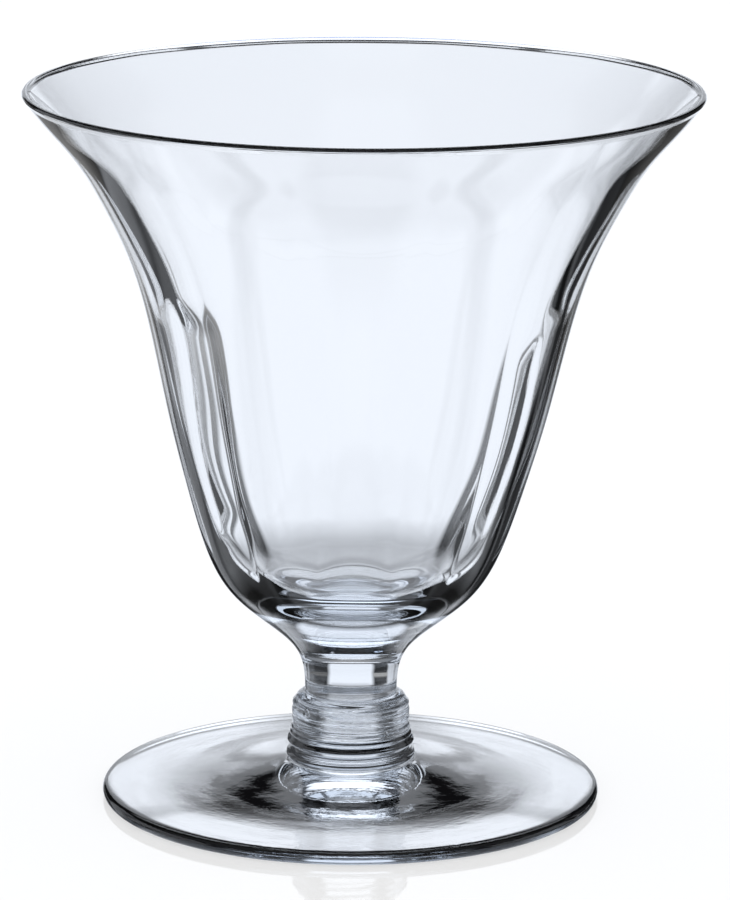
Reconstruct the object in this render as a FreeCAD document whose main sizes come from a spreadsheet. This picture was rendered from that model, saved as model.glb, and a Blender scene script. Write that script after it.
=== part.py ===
import FreeCAD, Part
import os
import Sketcher

# Seafood cocktail glass: one piece of hot-worked clear glass.
# A flared bowl with an optic-panelled inside stands on a short solid neck, a turned
# barrel knop and a round foot with a collar.
# The axis is Z, the glass stands on the XY plane and the origin is at the middle of
# the foot. Millimetres and degrees throughout.

# Sizes that are set once each
SIZES = {
    # foot: a low disc with a softened edge and a shallow recess underneath
    "foot_radius": 39.9,
    "foot_edge_height": 2.0,
    "foot_edge_bevel": 0.6,
    "foot_break_radius": 22.0,
    "foot_break_height": 3.6,
    "foot_height": 6.3,
    "foot_top_reach": 9.0,
    "rest_ring_width": 5.0,
    "recess_height": 0.8,
    "recess_flat_radius": 29.0,
    # collar: the round bead where the foot was joined on
    "collar_radius": 10.35,
    "collar_height": 1.8,
    "collar_sink": 0.45,
    "collar_bevel": 0.5,
    # knop: a barrel with a flared skirt below and a round shoulder above
    "undercut_radius": 9.3,
    "undercut_height": 0.95,
    "skirt_radius": 10.2,
    "skirt_bevel": 0.35,
    "skirt_height": 2.4,
    "knop_radius": 9.42,
    "knop_height": 8.7,
    "shoulder_round": 3.0,
    # rings left by the jacks on the shoulder
    "jack_ring_depth": 0.22,
    "jack_ring_first": 24.0,
    "jack_ring_step": 16.0,
    # neck and bowl: four curves that run into each other without a corner
    "neck_start": 12.0,
    "neck_straight": 5.7,
    "neck_radius": 7.35,
    "sweep_radius": 13.0,
    "sweep_turn": 58.0,
    "base_radius": 25.7,
    "base_turn": 39.6,
    "belly_radius": 279.0,
    "belly_turn": 6.9,
    "glass_height": 114.54,
    # wall of the bowl at the middle of a panel, from the floor up to the lip
    "hollow_start_turn": 32.0,
    "hollow_start_wall": 4.6,
    "base_wall": 3.05,
    "belly_wall": 1.78,
    "lip_wall": 1.0,
    # the line beside the axis that a panel's curve swings about, and how far it swings
    "panel_shift_low": 8.8,
    "panel_shift_high": 4.0,
    "panel_swing": 90.0,
    # floor of the bowl
    "floor_rise": 4.8,
    "floor_flat_radius": 6.0,
    "floor_dish_in": 4.6,
    "floor_dish_height": 1.6,
    "floor_corner_in": 2.7,
    "floor_corner_height": 5.0,
    "floor_crest": 0.55,
    # lip
    "rim_radius": 53.5,
    "rim_trimmed": 0.52,
    "lip_bevel": 0.3,
    "lip_trim_height": 1.5,
    "lip_cut_over": 3.0,
}

PANELS = 12
JACK_RINGS = 2
SHOULDER_BANDS = 3


def make_sheet(doc):
    """Puts every size on the sheet under its own name."""
    sheet = doc.addObject("Spreadsheet::Sheet", "sizes")
    for row, (name, value) in enumerate(SIZES.items(), 1):
        sheet.set(f"A{row}", name)
        sheet.set(f"B{row}", str(value))
        sheet.setAlias(f"B{row}", name)
    doc.recompute()
    return sheet


def value_of(expression):
    """The number that an expression has now."""
    found = sheet.evalExpression(expression)
    return float(getattr(found, "Value", found))


def new_sketch(name):
    """A sketch on the body's own upright plane through the axis."""
    support = next(f for f in body.Origin.OriginFeatures if f.Role == "XZ_Plane")
    sketch = body.newObject("Sketcher::SketchObject", name)
    sketch.AttachmentSupport = (support, [""])
    sketch.MapMode = "FlatFace"
    return sketch


def bind(sketch, name, kind, *where, size):
    """Adds a named dimension to a sketch and ties it to an expression."""
    index = sketch.addConstraint(Sketcher.Constraint(kind, *where, value_of(size)))
    sketch.renameConstraint(index, name)
    sketch.setExpression(f"Constraints.{name}", size)


def fix_corner(sketch, index, across, up):
    """Holds the end of an edge at a place; a nought lies on that axis."""
    if across == "0":
        sketch.addConstraint(Sketcher.Constraint("PointOnObject", index, 2, -2))
    else:
        bind(sketch, f"across_{index}", "DistanceX", -1, 1, index, 2, size=across)
    if up == "0":
        sketch.addConstraint(Sketcher.Constraint("PointOnObject", index, 2, -1))
    else:
        bind(sketch, f"up_{index}", "DistanceY", -1, 1, index, 2, size=up)


def draw_outline(sketch, corners):
    """Draws a closed outline, corner by corner. Each is its place across and up."""
    places = [FreeCAD.Vector(value_of(across), value_of(up), 0) for across, up in corners]
    for index, place in enumerate(places):
        sketch.addGeometry(Part.LineSegment(places[index - 1], place), False)
    for index, (across, up) in enumerate(corners):
        following = (index + 1) % len(corners)
        sketch.addConstraint(Sketcher.Constraint("Coincident", index, 2, following, 1))
        fix_corner(sketch, index, across, up)


def turn(kind, name, sketch):
    """Turns a sketch all the way round the glass's axis, to add or to cut away."""
    feature = body.newObject(kind, name)
    feature.Profile = sketch
    feature.ReferenceAxis = (sketch, ["V_Axis"])
    feature.Angle = 360.0
    doc.recompute()


def cut_panel(name, sketch, line):
    """Swings a sketch to both sides about a line of its own, to cut away."""
    feature = body.newObject("PartDesign::Groove", name)
    feature.Profile = sketch
    feature.ReferenceAxis = (sketch, [line])
    feature.Midplane = True
    feature.setExpression("Angle", "sizes.panel_swing")
    feature.Refine = False
    doc.recompute()


# Lean of the outside from upright where each of its curves ends. The flare runs on from
# the belly to the lip's height and width, which settle its radius and its last lean
SWEEP_END = "sizes.sweep_turn"
BASE_END = "(sizes.sweep_turn - sizes.base_turn)"
BELLY_END = "(sizes.sweep_turn - sizes.base_turn - sizes.belly_turn)"
SWEEP, BASE, BELLY, FLARE = range(4)


def centre_of(curve):
    """Where the centre of a curve lies, across and up."""
    if curve == SWEEP:
        start = "sizes.neck_radius", "(sizes.neck_start + sizes.neck_straight)"
    else:
        start = on_curve(curve - 1, CURVES[curve][2])
    radius, side, lean = CURVES[curve]
    reach = f"{side} * {radius}"
    return f"({start[0]} + {reach} * cos({lean}))", f"({start[1]} - {reach} * sin({lean}))"


def on_curve(curve, lean, wall="0"):
    """The place on a curve that leans so far, or that far inside it, square to it."""
    radius, side, _ = CURVES[curve]
    across, up = centre_of(curve)
    reach = f"({side} * {radius} + {wall})"
    return f"({across} - {reach} * cos({lean}))", f"({up} + {reach} * sin({lean}))"


def arc_to(place, start, lean):
    """Radius of an arc that leaves its start with a lean and meets a place."""
    across, up = f"({place[0]} - {start[0]})", f"({place[1]} - {start[1]})"
    return (f"(({across} ^ 2 + {up} ^ 2)"
            f" / (2 * ({across} * cos({lean}) - {up} * sin({lean}))))")


# Curves upwards: radius, side, which is -1 where one bends towards the axis, and lean
# where it starts
CURVES = [
    ("sizes.sweep_radius", 1, "0"),
    ("sizes.base_radius", -1, SWEEP_END),
    ("sizes.belly_radius", -1, BASE_END),
]
BELLY_TOP = on_curve(BELLY, BELLY_END)
BLOWN_RIM = ("(sizes.rim_radius + sizes.rim_trimmed)", "sizes.glass_height")
CURVES.append((arc_to(BLOWN_RIM, BELLY_TOP, BELLY_END), 1, BELLY_END))
RISE = f"({BLOWN_RIM[0]} - {BELLY_TOP[0]}); ({BLOWN_RIM[1]} - {BELLY_TOP[1]})"
FLARE_END = f"(2 * atan2({RISE}) / 1 deg - {BELLY_END})"


def bands_of(curve, end, bands, walls=("0", "0")):
    """Places along a curve up to the lean where it ends, as gauge rings on it."""
    start = CURVES[curve][2]
    places = []
    for band in range(1, bands + 1):
        lean, wall = (f"({first} + ({last} - {first}) * {band} / {bands})"
                      for first, last in ((start, end), walls))
        places.append(on_curve(curve, lean, wall))
    return places


def blow_outside():
    """The neck and bowl as blown, solid for now."""
    sketch = new_sketch("blown_outline")
    draw_outline(sketch, [
        ("0", "sizes.neck_start"),
        ("sizes.neck_radius", "sizes.neck_start"),
        ("sizes.neck_radius", "sizes.neck_start + sizes.neck_straight"),
        *bands_of(SWEEP, SWEEP_END, 4),
        *bands_of(BASE, BASE_END, 3),
        *bands_of(BELLY, BELLY_END, 2),
        *bands_of(FLARE, FLARE_END, 5)[:-1],
        BLOWN_RIM,
        ("0", "sizes.glass_height"),
    ])
    turn("PartDesign::Revolution", "blown_outside", sketch)


def add_foot():
    """The foot: recessed underneath, bevelled at its edge and swept up to the collar."""
    sketch = new_sketch("foot_outline")
    draw_outline(sketch, [
        ("0", "sizes.recess_height"),
        ("sizes.recess_flat_radius", "sizes.recess_height"),
        ("sizes.foot_radius - sizes.rest_ring_width", "0"),
        ("sizes.foot_radius", "0"),
        ("sizes.foot_radius", "sizes.foot_edge_height - sizes.foot_edge_bevel"),
        ("sizes.foot_radius - sizes.foot_edge_bevel", "sizes.foot_edge_height"),
        ("sizes.foot_break_radius", "sizes.foot_break_height"),
        ("sizes.foot_top_reach", "sizes.foot_height"),
        ("0", "sizes.foot_height"),
    ])
    turn("PartDesign::Revolution", "foot", sketch)


COLLAR_BOTTOM = "sizes.foot_height - sizes.collar_sink"
COLLAR_TOP = f"{COLLAR_BOTTOM} + sizes.collar_height"


def add_collar():
    sketch = new_sketch("collar_outline")
    draw_outline(sketch, [
        ("0", COLLAR_BOTTOM),
        ("sizes.collar_radius", COLLAR_BOTTOM),
        ("sizes.collar_radius", f"{COLLAR_TOP} - sizes.collar_bevel"),
        ("sizes.collar_radius - sizes.collar_bevel", COLLAR_TOP),
        ("0", COLLAR_TOP),
    ])
    turn("PartDesign::Revolution", "collar", sketch)


SKIRT_BOTTOM = f"{COLLAR_TOP} + sizes.undercut_height"
KNOP_TOP = f"{SKIRT_BOTTOM} + sizes.knop_height"


def on_shoulder(reach, turned):
    """A place so far from the middle of the shoulder's round, turned up so far."""
    return (f"sizes.knop_radius - sizes.shoulder_round + {reach} * cos({turned})",
            f"{KNOP_TOP} - sizes.shoulder_round + {reach} * sin({turned})")


def add_knop():
    """The barrel: undercut above the collar, flared skirt, round shoulder."""
    lip = f"{SKIRT_BOTTOM} + sizes.skirt_bevel"
    shoulder = []
    for band in range(SHOULDER_BANDS + 1):
        turned = f"(90 * {band} / {SHOULDER_BANDS})"
        shoulder.append(on_shoulder("sizes.shoulder_round", turned))
    sketch = new_sketch("knop_outline")
    draw_outline(sketch, [
        ("0", COLLAR_BOTTOM),
        ("sizes.undercut_radius", COLLAR_BOTTOM),
        ("sizes.undercut_radius", SKIRT_BOTTOM),
        ("sizes.skirt_radius - sizes.skirt_bevel", SKIRT_BOTTOM),
        ("sizes.skirt_radius", lip),
        ("sizes.knop_radius", f"{lip} + sizes.skirt_height"),
        *shoulder,
        ("0", KNOP_TOP),
    ])
    turn("PartDesign::Revolution", "knop", sketch)


def cut_jack_rings():
    """Fine sharp rings round the knop's shoulder, square to its curve."""
    deep = "(sizes.shoulder_round - sizes.jack_ring_depth)"
    clear = "(sizes.shoulder_round + sizes.jack_ring_depth)"
    half = "(2 * sizes.jack_ring_depth / sizes.shoulder_round * 180 / pi)"
    for number in range(JACK_RINGS):
        angle = f"sizes.jack_ring_first + {number} * sizes.jack_ring_step"
        sketch = new_sketch(f"jack_ring_outline_{number + 1}")
        draw_outline(sketch, [
            on_shoulder(reach, f"{angle} + {turned}")
            for reach, turned in ((deep, "0"), (clear, f"-1 * {half}"), (clear, half))
        ])
        turn("PartDesign::Groove", f"jack_ring_{number + 1}", sketch)


LIP_INSIDE = on_curve(FLARE, FLARE_END, "sizes.lip_wall")
OVER_LIP = (f"({LIP_INSIDE[0]} + sizes.lip_cut_over * sin({FLARE_END}))",
            f"({LIP_INSIDE[1]} + sizes.lip_cut_over * cos({FLARE_END}))")


def hollow_floor():
    """The floor, a dish that steepens in two bands, and the middle all the way up."""
    floor = f"{on_curve(SWEEP, SWEEP_END)[1]} + sizes.floor_rise"
    wall, cut_top = on_curve(BASE, BASE_END, "sizes.base_wall")
    wall = f"{wall} - sizes.floor_crest"
    corner = f"{wall} - sizes.floor_corner_in"
    sketch = new_sketch("floor_outline")
    draw_outline(sketch, [
        ("0", floor),
        ("sizes.floor_flat_radius", floor),
        (f"{corner} - sizes.floor_dish_in", f"{floor} + sizes.floor_dish_height"),
        (corner, f"{floor} + sizes.floor_corner_height"),
        (wall, cut_top),
        (corner, cut_top),
        (corner, OVER_LIP[1]),
        ("0", OVER_LIP[1]),
    ])
    turn("PartDesign::Groove", "hollow_floor", sketch)


def panel_corners():
    """Outline of one panel's cut, from its own line out to the wall and back."""
    start = on_curve(BASE, "sizes.hollow_start_turn", "sizes.hollow_start_wall")
    belly = bands_of(BELLY, BELLY_END, 2, ("sizes.base_wall", "sizes.belly_wall"))
    flare = bands_of(FLARE, FLARE_END, 4, ("sizes.belly_wall", "sizes.lip_wall"))
    return [
        ("sizes.panel_shift_low", start[1]),
        start,
        on_curve(BASE, BASE_END, "sizes.base_wall"),
        *belly,
        *flare,
        OVER_LIP,
        ("sizes.panel_shift_high", OVER_LIP[1]),
    ]


def hollow_panels():
    """The hollow above the floor, panel by panel.

    Each panel's curve swings about a line beside the glass's axis, so that it is
    rounder than the bowl, and two neighbours meet in a crest.
    """
    corners = panel_corners()
    like_first = [(f"panel_outline_1.Constraints.across_{index}",
                   f"panel_outline_1.Constraints.up_{index}") for index in range(len(corners))]
    for panel in range(PANELS):
        sketch = new_sketch(f"panel_outline_{panel + 1}")
        facing = FreeCAD.Rotation(FreeCAD.Vector(0, 1, 0), 360 * panel / PANELS)
        sketch.AttachmentOffset = FreeCAD.Placement(FreeCAD.Vector(), facing)
        draw_outline(sketch, like_first if panel else corners)
        ends = [FreeCAD.Vector(value_of(c[0]), value_of(c[1]), 0)
                for c in (corners[0], corners[-1])]
        line = sketch.addGeometry(Part.LineSegment(*ends), True)
        sketch.addConstraint(Sketcher.Constraint("Coincident", line, 1, 0, 2))
        sketch.addConstraint(Sketcher.Constraint("Coincident", line, 2, 0, 1))
        cut_panel(f"panel_{panel + 1}", sketch, "Axis0")


def trim_lip():
    """The sheared and fire-polished lip: a narrow land, a bevel and an upright edge."""
    top = "sizes.glass_height"
    bevel = "sizes.lip_bevel"
    sketch = new_sketch("lip_outline")
    draw_outline(sketch, [
        (f"sizes.rim_radius - {bevel}", top),
        ("sizes.rim_radius", f"{top} - {bevel}"),
        ("sizes.rim_radius", f"{top} - sizes.lip_trim_height"),
        ("sizes.rim_radius + sizes.lip_trim_height", f"{top} - sizes.lip_trim_height"),
        ("sizes.rim_radius + sizes.lip_trim_height", f"{top} + {bevel}"),
        (f"sizes.rim_radius - {bevel}", f"{top} + {bevel}"),
    ])
    turn("PartDesign::Groove", "lip_trim", sketch)


def check(doc):
    """Stops unless every object came out sound and the glass is one solid."""
    for item in doc.Objects:
        if "Invalid" in item.State or "Error" in item.State:
            raise RuntimeError(f"{item.Name} failed: {item.State}")
    shape = body.Shape
    if shape.isNull() or not shape.isValid():
        raise RuntimeError("the glass has no sound shape")
    if len(shape.Solids) != 1:
        raise RuntimeError(f"the glass has {len(shape.Solids)} solids")


doc = FreeCAD.newDocument("seafood_cocktail_glass")
sheet = make_sheet(doc)
body = doc.addObject("PartDesign::Body", "glass")
body.Label = "cocktail_glass"
body.Placement = FreeCAD.Placement()

for step in (blow_outside, add_foot, add_collar, add_knop, cut_jack_rings,
             hollow_floor, hollow_panels, trim_lip):
    step()
    print(step.__name__, round(body.Shape.Volume / 1000, 3), "ml")

check(doc)
os.makedirs("parts", exist_ok=True)
body.Shape.exportStep(f"parts/{body.Label}.step")
box = body.Shape.BoundBox
print(f"{body.Label}: {box.XLength:.2f} x {box.YLength:.2f} x {box.ZLength:.2f} mm")
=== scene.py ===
# %% [markdown]
# # A footed cocktail glass in clear glass
# The real object is one piece of hand-worked glass: a flared bowl with shallow optic
# panels inside, a short solid neck, a barrel knop with fine tool rings, a collar and a
# round foot. Everything stands on the frame of the CAD model, which holds the size.
# Shapes are written in millimetres and turned into metres when the mesh is made. This
# scene adds what glass needs to look real: a smooth surface, a clean volume, and a bright
# studio with dark edges.

# %% Load the frame
import math

import bpy
import numpy as np
from mathutils import Matrix, Vector


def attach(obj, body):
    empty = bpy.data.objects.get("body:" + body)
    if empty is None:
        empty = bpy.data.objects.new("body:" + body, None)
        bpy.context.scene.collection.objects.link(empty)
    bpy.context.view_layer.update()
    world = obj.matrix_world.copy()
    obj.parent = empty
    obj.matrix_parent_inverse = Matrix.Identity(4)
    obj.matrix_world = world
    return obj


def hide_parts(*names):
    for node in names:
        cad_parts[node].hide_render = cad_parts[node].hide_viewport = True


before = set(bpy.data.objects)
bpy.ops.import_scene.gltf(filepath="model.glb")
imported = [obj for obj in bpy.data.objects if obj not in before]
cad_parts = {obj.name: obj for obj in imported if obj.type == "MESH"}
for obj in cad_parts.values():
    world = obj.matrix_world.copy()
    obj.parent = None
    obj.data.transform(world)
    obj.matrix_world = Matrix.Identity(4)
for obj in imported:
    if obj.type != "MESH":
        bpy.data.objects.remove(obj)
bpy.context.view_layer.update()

NODE = "cocktail_glass"
MM = 0.001

# %% [markdown]
# ## The camera
# The glass was photographed from a little above its rim with a long lens, so its
# ellipses are shallow and its sides hardly converge. A camera is set up from three
# facts: how far it stands, how high it stands, and how wide its view is. The picture is
# 730 wide and 900 high, and the lens is worked out from the longer side. Turning the
# camera a very little about its own axis takes up part of the lean that the glass has.

# %% Camera
IMAGE_HEIGHT = 900
SENSOR = 36.0
FOCAL_PIXELS = 5274.1
CAMERA_PLACE = Vector((2.05, -815.8, 249.7)) * MM
CAMERA_DOWN = math.radians(13.32)
CAMERA_ROLL = math.radians(0.33)

camera_data = bpy.data.cameras.new("camera")
camera_data.sensor_width = SENSOR
camera_data.lens = SENSOR * FOCAL_PIXELS / IMAGE_HEIGHT
camera_data.clip_start = 0.01
camera = bpy.data.objects.new("camera", camera_data)
bpy.context.scene.collection.objects.link(camera)
upright = Matrix.Rotation(math.pi / 2 - CAMERA_DOWN, 4, "X")
camera.matrix_world = (Matrix.Translation(CAMERA_PLACE) @ upright
                       @ Matrix.Rotation(CAMERA_ROLL, 4, "Z"))
bpy.context.scene.camera = camera
print("lens", round(camera_data.lens, 2), "mm")

# %% [markdown]
# ## Smooth curves through gauge marks
# A glass blower checks a bowl against a few gauge marks. The same few radii give the
# whole outline here, through a natural cubic spline: the curve that a thin wooden
# batten takes when it is pinned at the marks. Its curvature has no jumps, and that
# matters, because glass shows every jump in curvature as a hard line of light.

# %% A natural spline
def spline(marks, values):
    """A function that gives the batten's value at any place along the marks."""
    marks, values = np.array(marks, float), np.array(values, float)
    gap = np.diff(marks)
    slope = np.diff(values) / gap
    size = len(marks)
    system, right = np.eye(size), np.zeros(size)
    for i in range(1, size - 1):
        system[i, i - 1:i + 2] = gap[i - 1], 2 * (gap[i - 1] + gap[i]), gap[i]
        right[i] = 6 * (slope[i] - slope[i - 1])
    bend = np.linalg.solve(system, right)

    def value_at(place):
        place = np.asarray(place, float)
        i = np.clip(np.searchsorted(marks, place) - 1, 0, size - 2)
        to_next, from_last = marks[i + 1] - place, place - marks[i]
        return (bend[i] * to_next ** 3 + bend[i + 1] * from_last ** 3) / (6 * gap[i]) \
            + (values[i] / gap[i] - bend[i] * gap[i] / 6) * to_next \
            + (values[i + 1] / gap[i] - bend[i + 1] * gap[i] / 6) * from_last

    return value_at


# %% [markdown]
# ## The outside of the bowl and neck
# The marks run from the root of the neck, inside the knop, up to the lip. The CAD model
# draws this outside as four arcs in short straight bands. The batten's curve stays within
# four tenths of a millimetre of them, and takes their place here because glass would show
# every band.

# %% Gauge marks, in millimetres
RING_HEIGHT = [12.0, 17.5, 21.0, 25.0, 29.0, 33.0, 38.0, 43.0, 50.0, 62.0, 76.0, 88.0,
               98.0, 105.0, 110.0, 114.54]
RING_RADIUS = [7.4, 7.35, 7.65, 9.5, 13.9, 18.7, 22.3, 24.4, 26.6, 29.95, 33.15, 36.7,
               41.6, 46.1, 50.4, 53.97]
outside_radius = spline(RING_HEIGHT, RING_RADIUS)
print("outside at 70 mm:", round(float(outside_radius(70.0)), 2), "mm")

# %% [markdown]
# ## The inside of the bowl
# The wall is thin at the lip and thick towards the floor. Inside, a ribbed mould left
# 12 shallow panels. Across a panel the glass is hollowed along a wide arc, and two
# panels meet in a crest, a thin line of slightly thicker glass. The hollowing is
# deepest low in the belly. It gets shallow towards the lip, and dies out on the floor.

# %% Inside marks
PANELS = 12
WALL_HEIGHT = [43.0, 50.0, 62.0, 76.0, 88.0, 98.0, 105.0, 110.0, 114.54]
WALL = [3.2, 2.5, 2.1, 1.8, 1.6, 1.5, 1.45, 1.35, 1.19]
SHIFT_HEIGHT, SHIFT = (39.3, 117.6), (8.8, 4.0)
FADE_FROM, FADE_TO = 37.0, 47.0
wall_at = spline(WALL_HEIGHT, WALL)
# radius and height across the floor; the two marks past the axis keep it level there
FLOOR_POINTS = [(-16.2, 36.75), (-9.0, 34.25), (0.0, 33.5), (9.0, 34.25), (16.2, 36.75),
                (19.55, 40.2)]


def panel_shift(height):
    """How far from the glass's axis the curve of a panel is centred."""
    fade = min(max((height - FADE_FROM) / (FADE_TO - FADE_FROM), 0.0), 1.0)
    fade = fade * fade * (3 - 2 * fade)
    return fade * float(np.interp(height, SHIFT_HEIGHT, SHIFT))


def panel_radius(radius, shift, angle):
    """The hollow's radius at an angle: arcs of one size that meet at the crests."""
    half = math.pi / PANELS
    away = (angle + half) % (2 * half) - half
    return shift * np.cos(away) + np.sqrt((radius - shift) ** 2
                                          - (shift * np.sin(away)) ** 2)


belly = float(outside_radius(76.0) - wall_at(76.0))
crest = belly - float(panel_radius(belly, panel_shift(76.0), math.pi / PANELS))
print("a crest at 76 mm stands", round(crest, 3), "mm above its panels")

# %% [markdown]
# ## The outline, from under the foot to the floor of the bowl
# The surface is one closed skin, so one line can describe it: out under the foot, over
# its edge, up the collar, the knop and the neck, up the outside of the bowl, over the
# lip and down the inside. Each stretch is a short function that gives radii and
# heights. The first are the foot's: a shallow recess underneath keeps it from rocking,
# so that it stands on a flat ring, and its top rises in a slow curve towards the collar.

# %% Foot
FOOT_RADIUS, FOOT_EDGE = 39.9, 1.0
RECESS_HEIGHT, RECESS_FLAT, REST_WIDTH = 0.8, 21.0, 5.0
FOOT_MARKS = [(39.0, 1.97), (37.0, 2.05), (34.0, 2.17), (30.0, 2.42), (26.0, 2.86),
              (22.0, 3.40), (18.0, 4.12), (14.0, 5.0), (11.5, 5.66), (10.2, 6.1)]


def arc_points(middle, radius, start, end, count):
    """Points along an arc between two angles in degrees."""
    turn = np.radians(np.linspace(start, end, count))
    return [(middle[0] + radius * math.cos(t), middle[1] + radius * math.sin(t))
            for t in turn]


def smooth(part):
    """An even step from nought to one without a corner."""
    return part * part * (3 - 2 * part)


def eased(part):
    """A straight ramp with a short bend at each end."""
    return (smooth(min(part * 2, 1.0)) + smooth(max(part * 2 - 1, 0.0))) / 4 + part / 2


def under_foot():
    """A shallow recess, and the flat ring that the glass stands on."""
    flat = [(r, RECESS_HEIGHT) for r in np.linspace(0.0, RECESS_FLAT, 5)]
    reach = FOOT_RADIUS - REST_WIDTH
    slope = [(RECESS_FLAT + (reach - RECESS_FLAT) * part, RECESS_HEIGHT * eased(1 - part))
             for part in np.linspace(0.0, 1.0, 16)[1:]]
    ring = [(r, 0.0) for r in np.linspace(reach, FOOT_RADIUS - FOOT_EDGE, 3)[1:]]
    return flat + slope + ring


def foot_edge_and_top():
    """The round edge of the foot, and its top up to the collar."""
    edge = arc_points((FOOT_RADIUS - FOOT_EDGE, FOOT_EDGE), FOOT_EDGE, -78, 84, 11)
    marks = FOOT_MARKS[::-1]
    height_at = spline([r for r, _ in marks], [z for _, z in marks])
    radii = np.linspace(FOOT_MARKS[0][0], FOOT_MARKS[-1][0], 28)[1:]
    return edge + [(r, float(height_at(r))) for r in radii]


print("foot:", len(under_foot()), "rows below,", len(foot_edge_and_top()), "above")

# %% [markdown]
# ## The stem and the outside of the bowl
# The jacks turn the stem out of round forms: a collar like half a bead, an undercut, a
# flared skirt, a barrel and a round shoulder. Arcs draw most of them, as the tool does.
# From the shoulder on, the outside follows the batten's curve up to the lip, which is
# melted round.

# %% Stem, bowl and lip
KNOP_TOP, BOWL_TOP = 17.75, 114.0


def collar_and_knop():
    """The round collar, the undercut, the flared skirt, the barrel and shoulder."""
    # an arc: its middle, its radius, from which to which angle, and how many points
    collar = arc_points((9.45, 6.75), 0.9, -58, 62, 8)
    undercut = [(9.34, 7.72), (9.28, 8.1), (9.34, 8.5)]
    skirt = arc_points((9.76, 8.98), 0.42, -75, 38, 7)
    heights = np.linspace(9.36, 14.0, 20)
    barrel = [(9.40 + 0.66 * max(0.0, (12.6 - z) / 3.2) ** 2.2, z) for z in heights]
    shoulder = arc_points((6.40, 14.2), 3.0, 3, 72, 20)
    return collar + undercut + skirt + barrel + shoulder


def neck_and_bowl():
    """The outside from the knop to the lip, with closer rows on the sharp bend."""
    heights = np.concatenate([np.linspace(KNOP_TOP, 33.0, 32),
                              np.linspace(33.8, BOWL_TOP, 84)])
    return [(float(outside_radius(z)), z) for z in heights]


def lip():
    """The lip: a half circle about as wide as the wall, tilted with the flare."""
    return arc_points((52.98, 114.04), 0.5, -34, 140, 12)


print("outside:", len(collar_and_knop()), "rows on the stem,", len(neck_and_bowl()),
      "on the bowl,", len(lip()), "on the lip")

# %% [markdown]
# ## The hollow, and the whole outline
# The inside keeps the wall's thickness from the outside down to the belly, and runs out
# over the round floor to the axis. There a curve along its own length is used instead of
# one over the height, because the floor turns level. At the end all stretches are put
# in one list, and each row says whether it belongs to the outside, the lip or the hollow.

# %% Hollow and whole outline
OUTSIDE, LIP, INSIDE = "outside", "lip", "inside"


def hollow():
    """The inside from the lip down the wall, and over the round floor to the axis."""
    heights = np.linspace(113.9, 46.0, 76)
    wall = [(float(outside_radius(z) - wall_at(z)), z) for z in heights]
    floor = [wall[-1], *reversed(FLOOR_POINTS)]
    along = np.concatenate([[0.0], np.cumsum([math.dist(a, b) for a, b
                                              in zip(floor, floor[1:])])])
    across = spline(along, [p[0] for p in floor])
    up = spline(along, [p[1] for p in floor])
    axis = along[-3]
    steps = np.linspace(0.0, axis, 29)[1:]
    return wall + [(max(float(across(s)), 0.0), float(up(s))) for s in steps]


outline = []
for points, kind in ((under_foot(), OUTSIDE), (foot_edge_and_top(), OUTSIDE),
                     (collar_and_knop(), OUTSIDE), (neck_and_bowl(), OUTSIDE),
                     (lip(), LIP), (hollow(), INSIDE)):
    outline += [(r, z, kind) for r, z in points]
print("outline rows:", len(outline))

# %% [markdown]
# ## Traces of hand work
# No blown glass is as true as its outline. The hollow follows the mould, the breath and
# the pull of the tools, so the wall swells and thins by a tenth of a millimetre or two
# over a few centimetres, and tools leave fine rings on the knop. These small errors are
# what bends the reflections into ragged bands. A sum of slow waves with random turns
# stands for each: it closes on itself around the axis, so it leaves no seam.

# %% Waves
COLUMNS = 22 * PANELS
angles = 2 * math.pi * np.arange(COLUMNS) / COLUMNS


def waves(seed, count, turns, length):
    """Slow waves around the axis and along the outline, about one high in all."""
    random = np.random.default_rng(seed)
    around = random.integers(0, turns + 1, count)
    along = 2 * math.pi / random.uniform(length[0], length[1], count)
    phase = random.uniform(0, 2 * math.pi, count)

    def height_at(angle, place):
        total = sum(np.cos(a * angle + k * place + p) for a, k, p in zip(around, along, phase))
        return total * math.sqrt(2 / count)

    return height_at


# the numbers are the seed, how many waves, the most turns around, and their lengths
hollow_waves = waves(7, 18, 11, (22.0, 90.0))
outer_waves = waves(11, 14, 5, (20.0, 90.0))
foot_waves = waves(5, 22, 9, (3.0, 12.0))
ring_waves = waves(3, 12, 2, (0.55, 2.2))
print("waves in the hollow at 70 mm: up to",
      round(float(np.abs(hollow_waves(angles, 70.0)).max()), 2))

# %% [markdown]
# ## Swellings
# Beside the slow waves, the wall has four long swellings at its left and right. Each
# thickens the wall slowly to one side, by up to four fifths of a millimetre, and ends in
# a short step that sways a little as it goes up. They draw the grey ribbons that run down
# both sides of the bowl.

# %% Swellings
def window(place, low, high, soft):
    """One between two places, nought outside them, with soft ends."""
    rise = np.clip((place - low) / soft, 0, 1) * np.clip((high - place) / soft, 0, 1)
    return smooth(rise)


# a swelling of the wall: where it begins, how far it runs, its depth, and from what
# height to what height
SWELLINGS = [(229, -17, 0.80, 45, 86), (217, -16, 0.66, 80, 109),
             (327, 14, 0.72, 80, 108), (319, 8, 0.42, 45, 80)]
SWAY, SWAY_LENGTH, STEP_WIDTH, SOFT_END = 1.6, 7.0, 0.25, 6.0


def swelling(angle, height, begin, run, depth, low, high):
    """A patch that thickens the wall slowly to one side and ends in a short step."""
    sway = SWAY * math.sin(height / SWAY_LENGTH + begin)
    part = ((np.degrees(angle) - begin - sway + 180) % 360 - 180) / run
    rise, fall = np.clip(part, 0, 1), np.clip((part - 1) / STEP_WIDTH, 0, 1)
    return -depth * rise * (1 - smooth(fall)) * window(height, low, high, SOFT_END)


deepest = min(float(swelling(angles, 70.0, *one).min()) for one in SWELLINGS)
print("the wall is thicker by up to", round(-deepest, 2), "mm at 70 mm")

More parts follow.
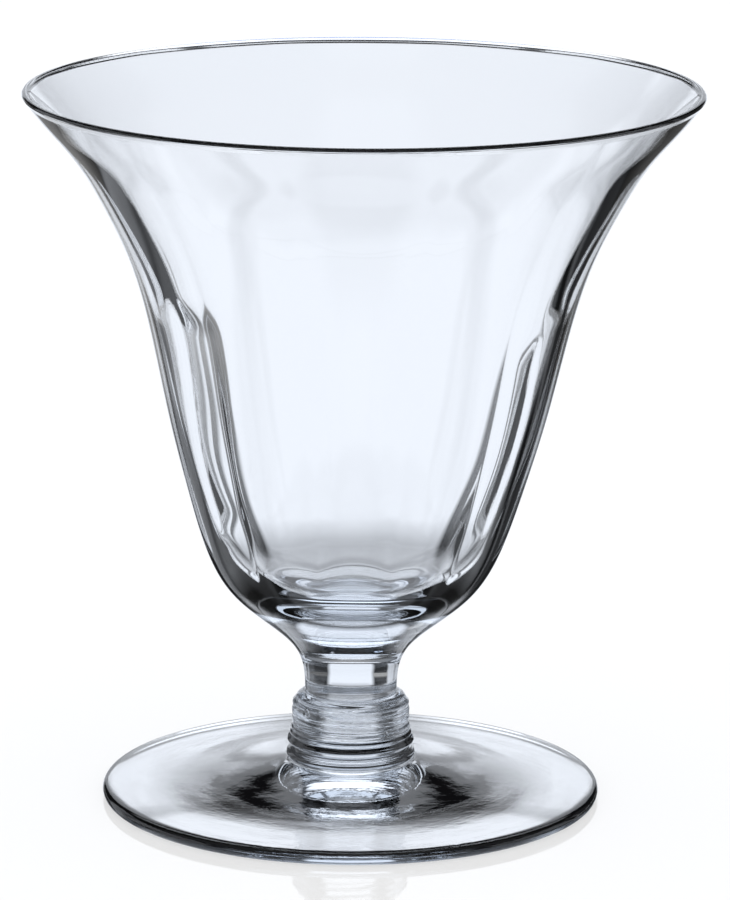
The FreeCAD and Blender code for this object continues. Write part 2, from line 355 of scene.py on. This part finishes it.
# %% [markdown]
# ## The hand work on each side of the wall
# The hollow takes the waves and the swellings, more of them at the left and right, where
# the photograph shows them. The outside takes slow waves of its own, the knop its rings,
# and the foot a slow unevenness of a hundredth of a millimetre, which is enough to break
# up what it mirrors. The lip is melted smooth and takes none.

# %% Hand work
LEFT, RIGHT = math.radians(185.0), math.radians(-5.0)
EVEN_SWELL, LEFT_SWELL, RIGHT_SWELL = 0.03, 0.05, 0.06
RING_DEPTH, OUTER_SWELL, FOOT_SWELL = 0.05, 0.035, 0.013
# where each begins and ends and how soft its ends are: the first four over the height,
# the last over the radius
HOLLOW_BAND, RIGHT_BAND = (33.0, 112.0, 12.0), (80.0, 111.0, 12.0)
RING_BAND, OUTER_BAND = (8.6, 17.8, 0.8), (20.0, 112.0, 8.0)
FOOT_BAND, FOOT_TOP_FROM = (11.5, 38.5, 3.0), 1.5


def hand_work(kind, height, angle):
    """How far the surface is off its true place at each angle, in millimetres."""
    if kind == LIP:
        return np.zeros(len(angle))
    if kind == INSIDE:
        left = (0.5 + 0.5 * np.cos(angle - LEFT)) ** 4
        right = (0.5 + 0.5 * np.cos(angle - RIGHT)) ** 6
        right = right * window(height, *RIGHT_BAND)
        swell = EVEN_SWELL + LEFT_SWELL * left + RIGHT_SWELL * right
        swell = swell * window(height, *HOLLOW_BAND)
        return (swell * hollow_waves(angle, height)
                + sum(swelling(angle, height, *one) for one in SWELLINGS))
    rings = RING_DEPTH * ring_waves(angle, height) * window(height, *RING_BAND)
    swell = OUTER_SWELL * outer_waves(angle, height) * window(height, *OUTER_BAND)
    return rings + swell


def foot_work(radius, height, angle):
    """How far the top of the foot is off its true height, in millimetres."""
    top = window(radius, *FOOT_BAND) * (height > FOOT_TOP_FROM)
    return FOOT_SWELL * top * foot_waves(angle, radius)


print("hollow is off by up to",
      round(float(np.abs(hand_work(INSIDE, 70.0, angles)).max()), 3), "mm at 70 mm")

# %% [markdown]
# ## Rows of points
# Each ring of the outline becomes a row of points around the axis. The panels, the hand
# work and the small lean of the bowl are put in row by row. The hand work fades towards
# the axis, where the rows are short.

# %% Rows of points
FOOT_TOP, CALM_RADIUS = 6.2, 8.0
LEAN, LEAN_FROM, LEAN_REACH = 1.6, 18.0, 96.5


def ring_points(radius, height, kind):
    """One row of points around the axis."""
    ring = np.full(COLUMNS, radius)
    if kind == INSIDE and height < BOWL_TOP:
        ring = panel_radius(radius, panel_shift(height), angles)
    calm = min(radius / CALM_RADIUS, 1.0)
    ring = ring + hand_work(kind, height, angles) * calm
    above = min(max((height - LEAN_FROM) / LEAN_REACH, 0.0), 1.0)
    lean = LEAN * smooth(above ** 0.8)
    on_foot = kind == OUTSIDE and height < FOOT_TOP
    rise = height + foot_work(radius, height, angles) * on_foot
    return np.stack([ring * np.cos(angles) + lean, ring * np.sin(angles), rise], axis=1)


widest = ring_points(*max(outline))
print("the widest row is", round(float(np.ptp(widest[:, 0])), 2), "mm across")

# %% [markdown]
# ## Bubbles
# One round bubble is caught in the knop with a seed near it, and two more seeds lie where
# the neck meets the bowl. A bubble is a small hollow in the same surface. Its faces are
# turned towards its middle, as the faces of the glass are turned towards the air, so the
# light bends the right way on both.

# %% Bubbles
# a bubble: its middle, its radius and half its height
BUBBLES = [((-6.5, -4.6, 14.2), 0.75, 0.6), ((5.2, -5.0, 11.4), 0.22, 0.3),
           ((-2.2, -3.0, 27.0), 0.25, 0.35), ((3.4, 6.0, 30.5), 0.2, 0.25)]


def bubble(centre, radius, height, start):
    """Points and faces of a small round hollow, its faces turned towards its middle."""
    around, levels = 14, 9
    verts, faces = [], []
    for level in range(levels):
        lift = math.pi * (level + 0.5) / levels
        for step in range(around):
            turn = 2 * math.pi * step / around
            verts.append([centre[0] + radius * math.sin(lift) * math.cos(turn),
                          centre[1] + radius * math.sin(lift) * math.sin(turn),
                          centre[2] + height * math.cos(lift)])
    for level in range(levels - 1):
        low = start + level * around
        for step in range(around):
            n = (step + 1) % around
            faces.append((low + step, low + n, low + around + n, low + around + step))
    faces.append(tuple(start + step for step in reversed(range(around))))
    faces.append(tuple(start + (levels - 1) * around + step for step in range(around)))
    return verts, faces


print("bubbles:", len(BUBBLES))

# %% [markdown]
# ## The skin
# The rows are joined into one closed surface with nothing inside it but the bubbles, as
# clear glass needs: where two surfaces of glass overlap, light bends twice and wrongly.
# The skin takes the place of the CAD model's only solid, rides on the root body and has
# the solid's material slot, clear_glass.

# %% Skin
def skin_mesh():
    """The whole surface: the rows joined into rings, closed at both ends, and bubbles."""
    rows = [ring_points(*row) for row in outline[1:-1]]
    ends = [[0.0, 0.0, outline[0][1]], [0.0, 0.0, outline[-1][1]]]
    verts = np.vstack([*rows, ends])
    first, last = len(verts) - 2, len(verts) - 1
    faces = []
    for low in range(0, first - COLUMNS, COLUMNS):
        for c in range(COLUMNS):
            n = (c + 1) % COLUMNS
            faces.append((low + c, low + n, low + COLUMNS + n, low + COLUMNS + c))
    top = first - COLUMNS
    for c in range(COLUMNS):
        n = (c + 1) % COLUMNS
        faces += [(first, n, c), (last, top + c, top + n)]
    for centre, radius, height in BUBBLES:
        hollow_verts, hollow_faces = bubble(centre, radius, height, len(verts))
        verts = np.vstack([verts, hollow_verts])
        faces += hollow_faces
    mesh = bpy.data.meshes.new("glass_skin")
    mesh.from_pydata((verts * MM).tolist(), [], faces)
    mesh.polygons.foreach_set("use_smooth", [True] * len(faces))
    mesh.update()
    return mesh


glass = bpy.data.objects.new("glass", skin_mesh())
bpy.context.scene.collection.objects.link(glass)
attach(glass, "root")
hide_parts(NODE)
print("skin:", len(glass.data.vertices), "points", len(glass.data.polygons), "faces")

# %% [markdown]
# ## Nodes
# Materials, the world and the floor are small networks of nodes. Four helpers keep their
# cells short: one adds a node and joins or fills its inputs, one does a sum, one opens a
# group, which is a network that can be used in more than one place, and one places it.

# %% Helpers for nodes
def add(tree, kind, inputs=None, **settings):
    """Adds a node, with its settings, and joins or fills its inputs."""
    made = tree.nodes.new(kind)
    for name, value in settings.items():
        setattr(made, name, value)
    for name, value in (inputs or {}).items():
        if isinstance(value, bpy.types.NodeSocket):
            tree.links.new(value, made.inputs[name])
        else:
            made.inputs[name].default_value = value
    return made


def maths(tree, operation, *values):
    """A sum on one or more values, as a socket."""
    inputs = dict(enumerate(values))
    return add(tree, "ShaderNodeMath", inputs, operation=operation).outputs[0]


def open_group(name, inputs, outputs):
    """A new group with its sockets, and its way in and out."""
    group = bpy.data.node_groups.new(name, "ShaderNodeTree")
    for label, kind in inputs:
        group.interface.new_socket(label, in_out="INPUT", socket_type=kind)
    for label, kind in outputs:
        group.interface.new_socket(label, in_out="OUTPUT", socket_type=kind)
    return group, add(group, "NodeGroupInput"), add(group, "NodeGroupOutput")


def use_group(tree, group, inputs):
    """Places a group in a network and joins its inputs."""
    return add(tree, "ShaderNodeGroup", inputs, node_tree=group)


# %% [markdown]
# ## Tool marks too fine to model
# The jacks leave hair-fine rings on the knop, and the paddle that spread the foot
# leaves streaks that run around it. Both are a noise that is squeezed in one direction:
# upwards on the knop, outwards on the foot. They only tilt the surface a little, so they
# are a bump.

# %% Tool marks
RINGS_PER_METRE, STREAKS_PER_METRE = 1500.0, 420.0
RINGS_AROUND, STREAKS_AROUND = 0.9, 5.0
STREAK_STRENGTH = 2.6
# where the marks begin and end, and how soft their ends are, in metres
KNOP_HEIGHT = (0.0085, 0.0175, 0.001)
FOOT_REACH, FOOT_HEIGHT = (0.012, 0.037, 0.004), (0.0016, 0.0062, 0.0003)


def tool_marks():
    """A group: from a place on the glass to the height of its tool marks."""
    group, enter, leave = open_group("tool_marks", [("Position", "NodeSocketVector")],
                                     [("Height", "NodeSocketFloat")])
    parts = add(group, "ShaderNodeSeparateXYZ", {0: enter.outputs["Position"]})
    flat = add(group, "ShaderNodeCombineXYZ", {0: parts.outputs["X"], 1: parts.outputs["Y"]})
    radius = add(group, "ShaderNodeVectorMath", {0: flat.outputs[0]},
                 operation="LENGTH").outputs["Value"]
    facing = add(group, "ShaderNodeVectorMath", {0: flat.outputs[0]}, operation="NORMALIZE")
    up = parts.outputs["Z"]

    def squeezed(around, across):
        """Noise that changes slowly around the axis and fast across the marks."""
        place = add(group, "ShaderNodeVectorMath", {0: facing.outputs[0], "Scale": around},
                    operation="SCALE")
        lift = add(group, "ShaderNodeCombineXYZ", {2: across})
        place = add(group, "ShaderNodeVectorMath", {0: place.outputs[0], 1: lift.outputs[0]})
        noise = add(group, "ShaderNodeTexNoise", {"Vector": place.outputs[0], "Scale": 1.0,
                                                  "Detail": 3.0, "Roughness": 0.6})
        return noise.outputs[0]

    def between(value, low, high, soft):
        """One between two values, with soft ends."""
        rise = add(group, "ShaderNodeMapRange", {"Value": value, "From Min": low,
                                                 "From Max": low + soft})
        fall = add(group, "ShaderNodeMapRange", {"Value": value, "From Min": high,
                                                 "From Max": high - soft})
        return maths(group, "MULTIPLY", rise.outputs[0], fall.outputs[0])

    rings = squeezed(RINGS_AROUND, maths(group, "MULTIPLY", up, RINGS_PER_METRE))
    rings = maths(group, "MULTIPLY", rings, between(up, *KNOP_HEIGHT))
    streaks = squeezed(STREAKS_AROUND, maths(group, "MULTIPLY", radius, STREAKS_PER_METRE))
    on_foot = maths(group, "MULTIPLY", between(radius, *FOOT_REACH),
                    between(up, *FOOT_HEIGHT))
    on_foot = maths(group, "MULTIPLY", on_foot, STREAK_STRENGTH)
    streaks = maths(group, "MULTIPLY", streaks, on_foot)
    group.links.new(maths(group, "ADD", rings, streaks), leave.inputs["Height"])
    return group


marks = tool_marks()
print("tool marks:", len(marks.nodes), "nodes")

# %% [markdown]
# ## Clear glass
# The glass bends light as soda-lime glass does. Thick glass is never quite white: a
# trace of iron takes away a little red, and the longer the way through it, the bluer it
# looks, so the tint belongs to the volume and not to the surface.

# %% Glass
GLASS_IOR = 1.52
TINT, TINT_DENSITY = (0.55, 0.75, 1.0, 1.0), 8.0
MARK_DEPTH = 0.00002

material = bpy.data.materials.new("clear_glass")
material.use_nodes = True
tree = material.node_tree
shader = tree.nodes["Principled BSDF"]
shader.inputs["Base Color"].default_value = (1.0, 1.0, 1.0, 1.0)
shader.inputs["Roughness"].default_value = 0.0
shader.inputs["IOR"].default_value = GLASS_IOR
shader.inputs["Transmission Weight"].default_value = 1.0
place = add(tree, "ShaderNodeTexCoord")
relief = use_group(tree, marks, {"Position": place.outputs["Object"]})
bump = add(tree, "ShaderNodeBump", {"Height": relief.outputs["Height"], "Strength": 1.0,
                                    "Distance": MARK_DEPTH})
tree.links.new(bump.outputs["Normal"], shader.inputs["Normal"])
tint = add(tree, "ShaderNodeVolumeAbsorption", {"Color": TINT, "Density": TINT_DENSITY})
tree.links.new(tint.outputs["Volume"], tree.nodes["Material Output"].inputs["Volume"])
glass.data.materials.append(material)
print("glass bends light by an index of", GLASS_IOR)

# %% [markdown]
# ## Light round the compass
# Clear glass shows nothing of its own, only its surroundings, bent. It is lit as
# glassware is in a studio: a tall bright sheet stands behind it, dark flags stand
# beside the sheet and give the glass its dark outlines, and softer windows further
# round keep it clear from every other side. The light is told by compass direction, with
# a colour ramp that is bent round the glass.

# %% Light round the compass
# a compass bearing in degrees, and how bright it is there
LOW = [(-180, 0.92), (-125, 0.92), (-120, 0.12), (-114, 0.12), (-110, 0.95), (-70, 0.95),
       (-62, 0.7), (-57, 0.3), (-52, 0.7), (-40, 0.7), (-37, 0.03), (-21, 0.03),
       (-17, 0.98), (17, 0.98), (21, 0.03), (37, 0.03), (41, 0.1), (50, 0.1), (53, 0.5),
       (56, 0.05), (59, 0.05), (62, 0.5), (70, 0.95), (110, 0.95), (114, 0.12),
       (120, 0.12), (125, 0.92), (180, 0.92)]
HIGH = [(-180, 0.5), (-150, 0.5), (-142, 0.25), (-70, 0.25), (-60, 0.04), (-34, 0.04),
        (-26, 1.4), (26, 1.4), (34, 0.04), (60, 0.04), (70, 0.25), (150, 0.25),
        (160, 0.5), (180, 0.5)]
COOL = (0.92, 0.965, 1.04)


def compass_ramp(group, bearing, stops):
    """A colour ramp around the compass; north is behind the glass."""
    ramp = add(group, "ShaderNodeValToRGB", {"Fac": bearing})
    elements = ramp.color_ramp.elements
    while len(elements) < len(stops):
        elements.new(0.5)
    for element, (degrees, light) in zip(elements, stops):
        element.position = (degrees + 180) / 360
        element.color = (light * COOL[0], light * COOL[1], light * COOL[2], 1.0)
    return ramp.outputs["Color"]


print("compass stops:", len(LOW), "low down,", len(HIGH), "high up")

# %% [markdown]
# ## The studio surround
# There is one ring of light low down and one high up, with a dark gap between them and a
# dim ceiling. The two rings are blended by how high a direction points. The surround is a
# group, because both the world and the floor use it.

# %% Studio surround
DARK, CEILING = (0.03, 0.03, 0.035, 1.0), (0.3, 0.3, 0.3, 1.0)
# where each part begins and is full, as the sine of its height above the table
GAP_FROM, HIGH_FROM, CEILING_FROM = (0.40, 0.45), (0.50, 0.56), (0.90, 0.96)


def fade(tree, value, start, end):
    """Nought at the start, one at the end; the end may be the smaller of the two."""
    return add(tree, "ShaderNodeMapRange", {"Value": value, "From Min": start,
                                            "From Max": end}).outputs[0]


def blend(tree, factor, first, second):
    """One colour, giving way to another as the factor grows."""
    made = add(tree, "ShaderNodeMix", data_type="RGBA")
    for name, value in (("Factor_Float", factor), ("A_Color", first), ("B_Color", second)):
        socket = next(s for s in made.inputs if s.identifier == name)
        if isinstance(value, bpy.types.NodeSocket):
            tree.links.new(value, socket)
        else:
            socket.default_value = value
    return next(s for s in made.outputs if s.identifier == "Result_Color")


def studio_surround():
    """A group: from a direction to the light that comes from there."""
    group, enter, leave = open_group("studio_surround", [("Direction", "NodeSocketVector")],
                                     [("Light", "NodeSocketColor")])
    parts = add(group, "ShaderNodeSeparateXYZ", {0: enter.outputs["Direction"]})
    turn = maths(group, "ARCTAN2", parts.outputs["X"], parts.outputs["Y"])
    bearing = maths(group, "MULTIPLY_ADD", turn, 0.5 / math.pi, 0.5)
    up = parts.outputs["Z"]
    light = blend(group, fade(group, up, *GAP_FROM), compass_ramp(group, bearing, LOW), DARK)
    light = blend(group, fade(group, up, *HIGH_FROM), light,
                  compass_ramp(group, bearing, HIGH))
    light = blend(group, fade(group, up, *CEILING_FROM), light, CEILING)
    group.links.new(light, leave.inputs["Light"])
    return group


def seen_by_glass(tree):
    """One for light that comes by way of the glass, nought for any other."""
    path = add(tree, "ShaderNodeLightPath")
    return maths(tree, "MAXIMUM", path.outputs["Is Glossy Ray"],
                 path.outputs["Is Transmission Ray"])


surround = studio_surround()
print("surround:", len(surround.nodes), "nodes")

# %% [markdown]
# ## The world
# The glass sees the studio in the world. Everything else, such as the floor, is lit by a
# plain white world, so the light on the floor stays soft and even.

# %% World
WHITE = (1.0, 1.0, 1.0, 1.0)
world = bpy.data.worlds.new("studio")
bpy.context.scene.world = world
world.use_nodes = True
tree = world.node_tree
where = add(tree, "ShaderNodeTexCoord")
studio = use_group(tree, surround, {"Direction": where.outputs["Generated"]})
light = blend(tree, seen_by_glass(tree), WHITE, studio.outputs["Light"])
tree.links.new(light, tree.nodes["Background"].inputs["Color"])
print("world strength", tree.nodes["Background"].inputs["Strength"].default_value)

# %% [markdown]
# ## The floor
# The glass stands on a plain white glossy table: one large flat face, a tenth of a
# millimetre under the foot, so that glass and table never lie in one plane.

# %% Floor
FLOOR_HALF, FLOOR_DROP = 4.0, 0.0001
corners = [(-FLOOR_HALF, -FLOOR_HALF, 0), (FLOOR_HALF, -FLOOR_HALF, 0),
           (FLOOR_HALF, FLOOR_HALF, 0), (-FLOOR_HALF, FLOOR_HALF, 0)]
floor_mesh = bpy.data.meshes.new("floor")
floor_mesh.from_pydata(corners, [], [(0, 1, 2, 3)])
floor = bpy.data.objects.new("floor", floor_mesh)
bpy.context.scene.collection.objects.link(floor)
floor.location.z = -FLOOR_DROP
print("floor:", 2 * FLOOR_HALF, "m wide")

# %% [markdown]
# ## Places on the table
# How the table looks by way of the glass depends on the place: under the foot, beside the
# stem, behind it, or further out. Each place is a soft patch, a product of fades over the
# distance from the axis and from the two centre lines, and runs from nought to one. The
# patches say where painted shade and a painted image of the studio go on the table.

# %% Places on the table
STEM_SHARE = 0.85

table = bpy.data.materials.new("table")
table.use_nodes = True
tree = table.node_tree
tree.nodes.remove(tree.nodes["Principled BSDF"])
place = add(tree, "ShaderNodeTexCoord").outputs["Object"]
away = add(tree, "ShaderNodeVectorMath", {0: place}, operation="LENGTH").outputs["Value"]
axes = add(tree, "ShaderNodeSeparateXYZ", {0: place})
aside = maths(tree, "ABSOLUTE", axes.outputs["X"])
along = maths(tree, "ABSOLUTE", axes.outputs["Y"])


def patch(*fades):
    """A soft patch: the product of fades, each a value with its start and its end."""
    made = 1.0
    for value, start, end in fades:
        made = maths(tree, "MULTIPLY", made, fade(tree, value, start, end))
    return made


# each fade: a value, where it is nought and where it is full, in metres
# painted shade goes under the bowl and behind and beside the stem; the painted studio image
# goes in front of the stem and further out
under_bowl = patch((aside, 0.034, 0.022), (away, 0.040, 0.044))
behind_stem = patch((aside, 0.018, 0.010), (axes.outputs["Y"], 0.0, 0.01))
behind_stem = maths(tree, "MULTIPLY", behind_stem, STEM_SHARE)
behind = maths(tree, "MAXIMUM", under_bowl, behind_stem)
behind = maths(tree, "MULTIPLY", behind, fade(tree, away, 0.115, 0.048))
beside = patch((aside, 0.008, 0.020), (aside, 0.033, 0.022), (along, 0.018, 0.004))
front = patch((axes.outputs["Y"], -0.011, -0.022), (away, 0.020, 0.027))
far_out = maths(tree, "MAXIMUM", front, fade(tree, away, 0.048, 0.07))
print("table:", len(tree.nodes), "nodes for its places")

# %% [markdown]
# ## The table by way of the glass
# Under the foot the table is a dull mirror with a faint painted glow for haze. Beside and
# behind the stem its mirror and glow are darkened by painted shade, which keeps the knop
# and the root of the bowl dark. In front of the stem and further out it glows with a
# painted image of the sheet and the flags of the studio. The painted flags are not quite
# black, and lighter on the left, so the ribbons in the wall come out grey.

# %% Table by way of the glass
BEHIND_SHADE, BESIDE_SHADE = 0.68, 0.97
DULL_ROUGHNESS, PAINTED_HAZE_GLOW = 0.12, 0.03
# painted light of the flags on the table: how bright on the left and on the right, the half
# width across which it changes, and from where it fades in, in metres
PAINTED_FLAG_LEFT, PAINTED_FLAG_RIGHT, PAINTED_FLAG_HALF = 0.36, 0.12, 0.04
PAINTED_FLAG_FROM = (0.16, 0.26)


def shaded(amount, strength):
    """Painted shade: one where there is no patch, less where there is."""
    return maths(tree, "MULTIPLY_ADD", amount, -strength, 1.0)


# painted shade: the table's mirror and glow are made darker behind and beside the stem and
# under the bowl
painted_shade = maths(tree, "MULTIPLY", shaded(behind, BEHIND_SHADE), shaded(beside, BESIDE_SHADE))
mirror = add(tree, "ShaderNodeBsdfGlossy", {"Color": painted_shade, "Roughness": DULL_ROUGHNESS})
# painted glow: a faint even light added to the mirror under the foot, for haze
painted_haze = add(tree, "ShaderNodeEmission", {"Color": WHITE, "Strength": PAINTED_HAZE_GLOW})
near = add(tree, "ShaderNodeAddShader", {0: mirror.outputs[0], 1: painted_haze.outputs[0]})
# a painted glow: the studio surround, looked up from each place on the table
painted_surround = use_group(tree, surround, {"Direction": place})
# painted light: the dark flags on the table are lifted towards grey, more on the left
painted_flag_light = add(tree, "ShaderNodeMapRange", {"Value": axes.outputs["X"],
                                        "From Min": -PAINTED_FLAG_HALF, "From Max": PAINTED_FLAG_HALF,
                                        "To Min": PAINTED_FLAG_LEFT, "To Max": PAINTED_FLAG_RIGHT})
painted_flag_light = maths(tree, "MULTIPLY", painted_flag_light.outputs[0], fade(tree, away, *PAINTED_FLAG_FROM))
seen = add(tree, "ShaderNodeVectorMath", {0: painted_surround.outputs["Light"], 1: painted_flag_light},
           operation="MAXIMUM")
# the painted glow of the studio image, darkened by the painted shade
far = add(tree, "ShaderNodeEmission", {"Color": seen.outputs["Vector"], "Strength": painted_shade})
through = add(tree, "ShaderNodeMixShader", {0: far_out, 1: near.outputs[0],
                                            2: far.outputs[0]})
print("table:", len(tree.nodes), "nodes with its look by way of the glass")

# %% [markdown]
# ## The table seen by the camera
# To the camera the table is plain white. Part of it glows, so that it stays white without
# more light on the glass. Part of it is matt and takes the soft shadow of the foot, and a
# quarter is shine, which gives the faint mirror image of the foot and stem.

# %% Table seen by the camera
GLOW_SHARE, SHINE_SHARE = 0.6, 0.25
MATT_WHITE, GLOW, SHINE_ROUGHNESS = (0.95, 0.95, 0.95, 1.0), 1.25, 0.04
matte = add(tree, "ShaderNodeBsdfDiffuse", {"Color": MATT_WHITE})
glow = add(tree, "ShaderNodeEmission", {"Color": WHITE, "Strength": GLOW})
cloth = add(tree, "ShaderNodeMixShader", {0: GLOW_SHARE, 1: matte.outputs[0],
                                          2: glow.outputs[0]})
shine = add(tree, "ShaderNodeBsdfGlossy", {"Roughness": SHINE_ROUGHNESS})
plain = add(tree, "ShaderNodeMixShader", {0: SHINE_SHARE, 1: cloth.outputs[0],
                                          2: shine.outputs[0]})
final = add(tree, "ShaderNodeMixShader", {0: seen_by_glass(tree), 1: plain.outputs[0],
                                          2: through.outputs[0]})
tree.links.new(final.outputs[0], tree.nodes["Material Output"].inputs["Surface"])
floor.data.materials.append(table)
print("table:", len(tree.nodes), "nodes")

# %% [markdown]
# ## Plain colours
# The picture is kept in plain colours. The lean of the bowl takes the rim 1.7 mm past the
# CAD model on one side.

# %% Colour
bpy.context.scene.view_settings.view_transform = "Standard"
